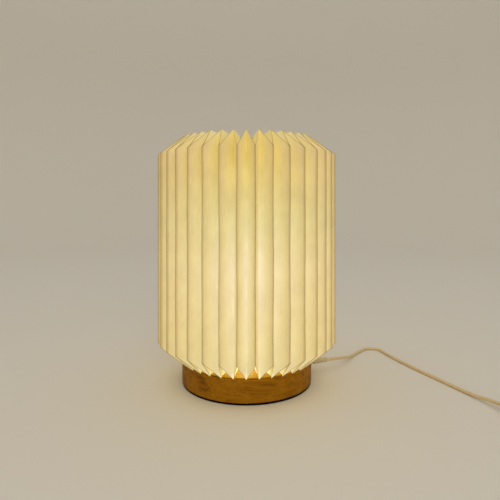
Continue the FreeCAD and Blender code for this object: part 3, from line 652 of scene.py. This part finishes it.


def oiled_walnut():
    """Warm brown wood: two scales of streaks along one tilted direction, and a top painted golden as if
    lit by the lamp.
    """
    finish, tree, shader = new_finish("oiled_walnut", Specular_IOR_Level=0.06)
    place = add_node(tree, "ShaderNodeTexCoord").outputs["Object"]
    streaks = []
    for size in (FIGURE_SIZE, PORE_SIZE):
        laid = add_node(tree, "ShaderNodeMapping", vector_type="TEXTURE", sockets={
            "Vector": place, "Rotation": GRAIN_TURN, "Scale": size})
        streaks.append(add_node(tree, "ShaderNodeTexNoise", sockets={
            "Vector": laid.outputs[0], "Scale": 1.0, "Detail": 4.0, "Distortion": 0.5}).outputs["Fac"])
    figure = add_node(tree, "ShaderNodeValToRGB", sockets={"Fac": streaks[0]}, stops=[
        (0.25, "#72490A"), (0.45, "#99660E"), (0.58, "#A87212"), (0.75, "#84560C")])
    pores = add_node(tree, "ShaderNodeValToRGB", sockets={"Fac": streaks[1]}, stops=[
        (0.34, "#C2B098"), (0.46, "#FFFFFF")])
    colour = add_node(tree, "ShaderNodeMix", data_type="RGBA", blend_type="MULTIPLY", sockets={
        0: 1.0, 6: figure.outputs["Color"], 7: pores.outputs["Color"]})
    # Painted light: the top is lighter and more golden, as the lamp inside the shade lights it
    painted_lit_top = add_node(tree, "ShaderNodeValToRGB", sockets={"Fac": streaks[0]}, stops=[
        (0.25, "#8A6802"), (0.6, "#B48E04")])
    height = add_node(tree, "ShaderNodeSeparateXYZ", sockets={0: place}).outputs["Z"]
    lit_top_mask = add_node(tree, "ShaderNodeMapRange", sockets={
        "Value": height, "From Min": LIT_TOP_FROM, "From Max": LIT_TOP_FROM + LIT_TOP_BAND})
    wood = add_node(tree, "ShaderNodeMix", data_type="RGBA", sockets={
        0: lit_top_mask.outputs[0], 6: colour.outputs[2], 7: painted_lit_top.outputs["Color"]})
    tree.links.new(wood.outputs[2], shader.inputs["Base Color"])
    sheen = add_node(tree, "ShaderNodeMapRange", sockets={
        "Value": streaks[1], "From Min": 0.3, "From Max": 0.6, "To Min": 0.62, "To Max": 0.44})
    tree.links.new(sheen.outputs[0], shader.inputs["Roughness"])
    dents = add_node(tree, "ShaderNodeBump", sockets={
        "Strength": 0.4, "Distance": 0.08 * MM, "Height": pores.outputs["Color"]})
    tree.links.new(dents.outputs[0], shader.inputs["Normal"])
    return finish


def dress(finish, *nodes):
    """Put a finish into the material slots of solids."""
    for node in nodes:
        for slot in frame["nodes"][node].material_slots:
            slot.material = finish


dress(oiled_walnut(), "base_body")

# %% [markdown]
# ## Moulded plastics and rubber
# The switch, the plug's grip, the strain relief, the cord's jacket and the foot pad all come out of
# steel tools. What the eye gets from them is a fine grain that the tool left, a colour that drifts very
# slightly, and a gloss that differs from piece to piece. One recipe serves them all: its grain size, its
# colours and its roughness are what tells them apart.

# %% Moulded finishes
DRIFT_SIZE = 6 * MM         # of the clouds in the colour
MOULDED_SPREAD = 0.06       # of the roughness, to either side


def moulded(name, dark, light, grain, depth, roughness, **constants):
    """A plastic or rubber skin: soft clouds drift between two colours, and grains dent the surface and
    roughen its gloss."""
    finish, tree, shader = new_finish(name, **constants)
    place = add_node(tree, "ShaderNodeTexCoord").outputs["Object"]
    clouds = add_node(tree, "ShaderNodeTexNoise", sockets={
        "Vector": place, "Scale": 1 / DRIFT_SIZE, "Detail": 3.0})
    drift = add_node(tree, "ShaderNodeValToRGB", sockets={"Fac": clouds.outputs["Fac"]},
                     stops=[(0.3, dark), (0.7, light)])
    tree.links.new(drift.outputs["Color"], shader.inputs["Base Color"])
    grains = add_node(tree, "ShaderNodeTexNoise", sockets={
        "Vector": place, "Scale": 1 / grain, "Detail": 1.0})
    gloss = add_node(tree, "ShaderNodeMapRange", sockets={
        "Value": grains.outputs["Fac"], "From Min": 0.3, "From Max": 0.7,
        "To Min": roughness - MOULDED_SPREAD, "To Max": roughness + MOULDED_SPREAD})
    tree.links.new(gloss.outputs[0], shader.inputs["Roughness"])
    skin = add_node(tree, "ShaderNodeBump", sockets={
        "Strength": 0.5, "Distance": depth, "Height": grains.outputs["Fac"]})
    tree.links.new(skin.outputs[0], shader.inputs["Normal"])
    return finish


# Soft jacket drawn off an extruder: satin, with almost no grain
jacket_finish = moulded("ivory_pvc_jacket", "#D8BE8C", "#E2CA9C", 0.8 * MM, 0.02 * MM, 0.42)
for cord in (table_cord, coiled_cord):
    cord.data.materials.append(jacket_finish)
dress(jacket_finish, "held_cord", "plug_grip")
# Rubber moulded onto the cord: the same ivory, duller
dress(moulded("ivory_relief_rubber", "#CDBA96", "#D7C6A4", 0.6 * MM, 0.04 * MM, 0.62), "strain_relief")
# Switch shells: spark-eroded grain that keeps fingerprints off
dress(moulded("grained_ivory_abs", "#DBD5C6", "#E4DFD2", 0.5 * MM, 0.05 * MM, 0.52),
      "switch_lower_shell", "switch_upper_shell")
# Rocker: polished, so that it stands out under the thumb
dress(moulded("polished_ivory_abs", "#E4DFD3", "#ECE8DE", 1.5 * MM, 0.01 * MM, 0.24), "switch_rocker")
# Foamed pad under the base: black and dull
dress(moulded("black_foamed_rubber", "#0C0603", "#140B05", 0.7 * MM, 0.12 * MM, 0.86,
              Specular_IOR_Level=0.1), "foot_pad")
# Cover in the base and the grip that holds the cord: dark, plain and out of sight
dress(moulded("black_glass_filled_nylon", "#131313", "#1D1D1C", 0.6 * MM, 0.05 * MM, 0.6),
      "base_cover", "cord_grip")
# Insulation of the two leads: glossy red
dress(moulded("red_wire_insulation", "#7E120F", "#8C1A15", 0.8 * MM, 0.01 * MM, 0.3), "lead_wires")
# Tongue in the plug's mouth: white nylon
dress(moulded("white_nylon_tongue", "#DEDDD8", "#E6E5E0", 0.5 * MM, 0.02 * MM, 0.45), "plug_tongue")
print("materials so far:", len(bpy.data.materials))

# %% [markdown]
# ## The LED unit
# Under the opal dome sits a round aluminium board with a white coat and a ring of small LEDs. The dome
# is what lights the paper's inside and the top of the base, so it glows strongly and warmly.

# %% Board, chips and dome
dress(moulded("white_solder_mask", "#DEDED6", "#E8E8E2", 0.9 * MM, 0.01 * MM, 0.34), "led_board")
# Phosphor under clear resin: yellow, glossy and alight
dress(moulded("lit_phosphor", "#E8B838", "#F0C850", 0.6 * MM, 0.02 * MM, 0.2,
              Emission_Color=linear("#FFD08A"), Emission_Strength=3.0), "led_chips")
# Opal polycarbonate: milky, a soft gloss, and light from all of its surface
dress(moulded("opal_polycarbonate", "#EFE7D6", "#F5EFE2", 0.9 * MM, 0.01 * MM, 0.3,
              Emission_Color=linear("#FFDC90"), Emission_Strength=9.0), "diffuser_dome")

# %% [markdown]
# ## Metal
# Screws are zinc plated after their heads are turned, the plug's shell is stamped from sheet and plated,
# and the contacts are brass strip. Each is a bare metal with fine marks in one direction, which stretch
# its highlights.

# %% Metal finishes
FINE, LONG = 0.25 * MM, 6 * MM  # across the marks and along them
METAL_SPREAD = 0.1          # of the roughness, to either side


def marked_metal(name, dark, light, marks, roughness):
    """A plated or rolled metal: fine marks along one direction vary its tone and its gloss."""
    finish, tree, shader = new_finish(name, Metallic=1.0)
    place = add_node(tree, "ShaderNodeTexCoord").outputs["Object"]
    laid = add_node(tree, "ShaderNodeMapping", vector_type="TEXTURE", sockets={
        "Vector": place, "Scale": marks})
    lines = add_node(tree, "ShaderNodeTexNoise", sockets={
        "Vector": laid.outputs[0], "Scale": 1.0, "Detail": 3.0})
    tone = add_node(tree, "ShaderNodeValToRGB", sockets={"Fac": lines.outputs["Fac"]},
                    stops=[(0.3, dark), (0.7, light)])
    tree.links.new(tone.outputs["Color"], shader.inputs["Base Color"])
    gloss = add_node(tree, "ShaderNodeMapRange", sockets={
        "Value": lines.outputs["Fac"],
        "To Min": roughness - METAL_SPREAD, "To Max": roughness + METAL_SPREAD})
    tree.links.new(gloss.outputs[0], shader.inputs["Roughness"])
    return finish


dress(marked_metal("zinc_plated_steel", "#B4B2AA", "#CFCDC6", (FINE, FINE, LONG), 0.34),
      "base_screws", "board_screws", "switch_screws")
dress(marked_metal("plated_stamped_steel", "#BFBEBA", "#D6D5D1", (LONG, LONG, FINE), 0.26), "plug_shell")
dress(marked_metal("rolled_brass_strip", "#B4873C", "#CCA256", (LONG, LONG, FINE), 0.3),
      "switch_contacts", "plug_contacts")

# %% [markdown]
# ## Woven strap
# The strap is a narrow woven tape. Its threads cross every half millimetre, so two waves along its own
# UV map, one for each direction, give the weave its colour and its relief.

# %% Weave
THREAD = 0.5 * MM
WAVE_LENGTH = 2 * math.pi / 20  # of the wave texture, at a scale of 1


def woven_tape():
    """Plain weave: the threads of the two directions take turns on top."""
    finish, tree, shader = new_finish("woven_nylon_tape", Roughness=0.85, Sheen_Weight=0.25)
    place = add_node(tree, "ShaderNodeUVMap", uv_map="weave").outputs["UV"]
    waves = [add_node(tree, "ShaderNodeTexWave", wave_type="BANDS", bands_direction=axis, sockets={
        "Vector": place, "Scale": WAVE_LENGTH / (2 * THREAD), "Distortion": 0.4,
        "Detail": 1.0}).outputs["Fac"] for axis in ("X", "Y")]
    over = add_node(tree, "ShaderNodeMath", operation="SUBTRACT", sockets={0: waves[0], 1: waves[1]})
    thread = add_node(tree, "ShaderNodeMath", operation="ABSOLUTE", sockets={0: over.outputs[0]})
    tone = add_node(tree, "ShaderNodeValToRGB", sockets={"Fac": thread.outputs[0]},
                    stops=[(0.0, "#A39C8C"), (0.7, "#CFC9BB")])
    tree.links.new(tone.outputs["Color"], shader.inputs["Base Color"])
    relief = add_node(tree, "ShaderNodeBump", sockets={
        "Strength": 0.8, "Distance": 0.15 * MM, "Height": thread.outputs[0]})
    tree.links.new(relief.outputs[0], shader.inputs["Normal"])
    return finish


coil_strap.data.materials.append(woven_tape())

# %% [markdown]
# ## Floor and light
# A pale sheet of studio paper lies under the lamp and curves up far behind it, so no corner shows. A plain
# sky lights everything evenly, and a large weak lamp in front, behind the camera, gives the round pieces
# their form. From a side it would draw a white edge on one face of every pleat. The sheet is a surface of
# revolution, so that it looks the same from every side.

# %% Floor
COVE_REACH = 1.7            # metres of flat floor round the lamp
COVE_ROUND = 1.2
COVE_HEIGHT = 3.2
COVE_SIDES = 96
COVE_STEPS = 25             # in the curve
COVE_RINGS = [0.01, 0.6]    # metres, radii of the rings on the flat floor


def cove():
    """A flat disc, a quarter circle and an upright wall, turned about the lamp's axis."""
    angle = np.linspace(0, math.pi / 2, COVE_STEPS)
    radius = COVE_REACH + COVE_ROUND * np.sin(angle)
    radius = np.concatenate([COVE_RINGS, radius, radius[-1:]])
    height = np.concatenate([[0, 0], COVE_ROUND * (1 - np.cos(angle)), [COVE_HEIGHT]])
    around = np.linspace(0, 2 * math.pi, COVE_SIDES, endpoint=False)
    points = np.stack([
        radius[:, None] * np.cos(around), radius[:, None] * np.sin(around),
        np.broadcast_to(height[:, None], (len(height), COVE_SIDES)),
    ], axis=-1)
    faces = grid_faces(len(height), COVE_SIDES).tolist() + [list(range(COVE_SIDES))]
    piece = mesh_piece("floor", points.reshape(-1, 3), faces)
    piece.data.polygons.foreach_set("use_smooth", np.ones(len(faces), bool))
    return piece


floor = cove()
floor_finish, _, _ = new_finish("pale_matt_studio_paper", Base_Color=linear("#E8E3D9"), Roughness=0.95,
                                Specular_IOR_Level=0.1)
floor.data.materials.append(floor_finish)

# %% Sky and window
SKY_LEVEL = 0.8
SHADE_MIDDLE = np.array([0.0, 0.0, 0.15])

world = bpy.data.worlds.new("studio")
world.use_nodes = True
background = world.node_tree.nodes["Background"]
background.inputs["Color"].default_value = linear("#F4F2EE")
background.inputs["Strength"].default_value = SKY_LEVEL
bpy.context.scene.world = world


def window(name, place, side, power):
    """A square area lamp that faces the middle of the shade."""
    data = bpy.data.lights.new(name, "AREA")
    data.size = side
    data.energy = power
    data.color = linear("#FFFAF2")[:3]
    lamp = bpy.data.objects.new(name, data)
    aim = SHADE_MIDDLE - place
    lamp.location = place
    yaw = math.atan2(aim[1], aim[0]) - math.pi / 2
    pitch = math.atan2(aim[2], math.hypot(aim[0], aim[1])) + math.pi / 2
    lamp.rotation_euler = (pitch, 0, yaw)
    scene_objects.link(lamp)


window("window_front", place=np.array([0.2, -1.6, 0.6]), side=1.0, power=6.0)
bpy.context.scene.view_settings.view_transform = "Standard"
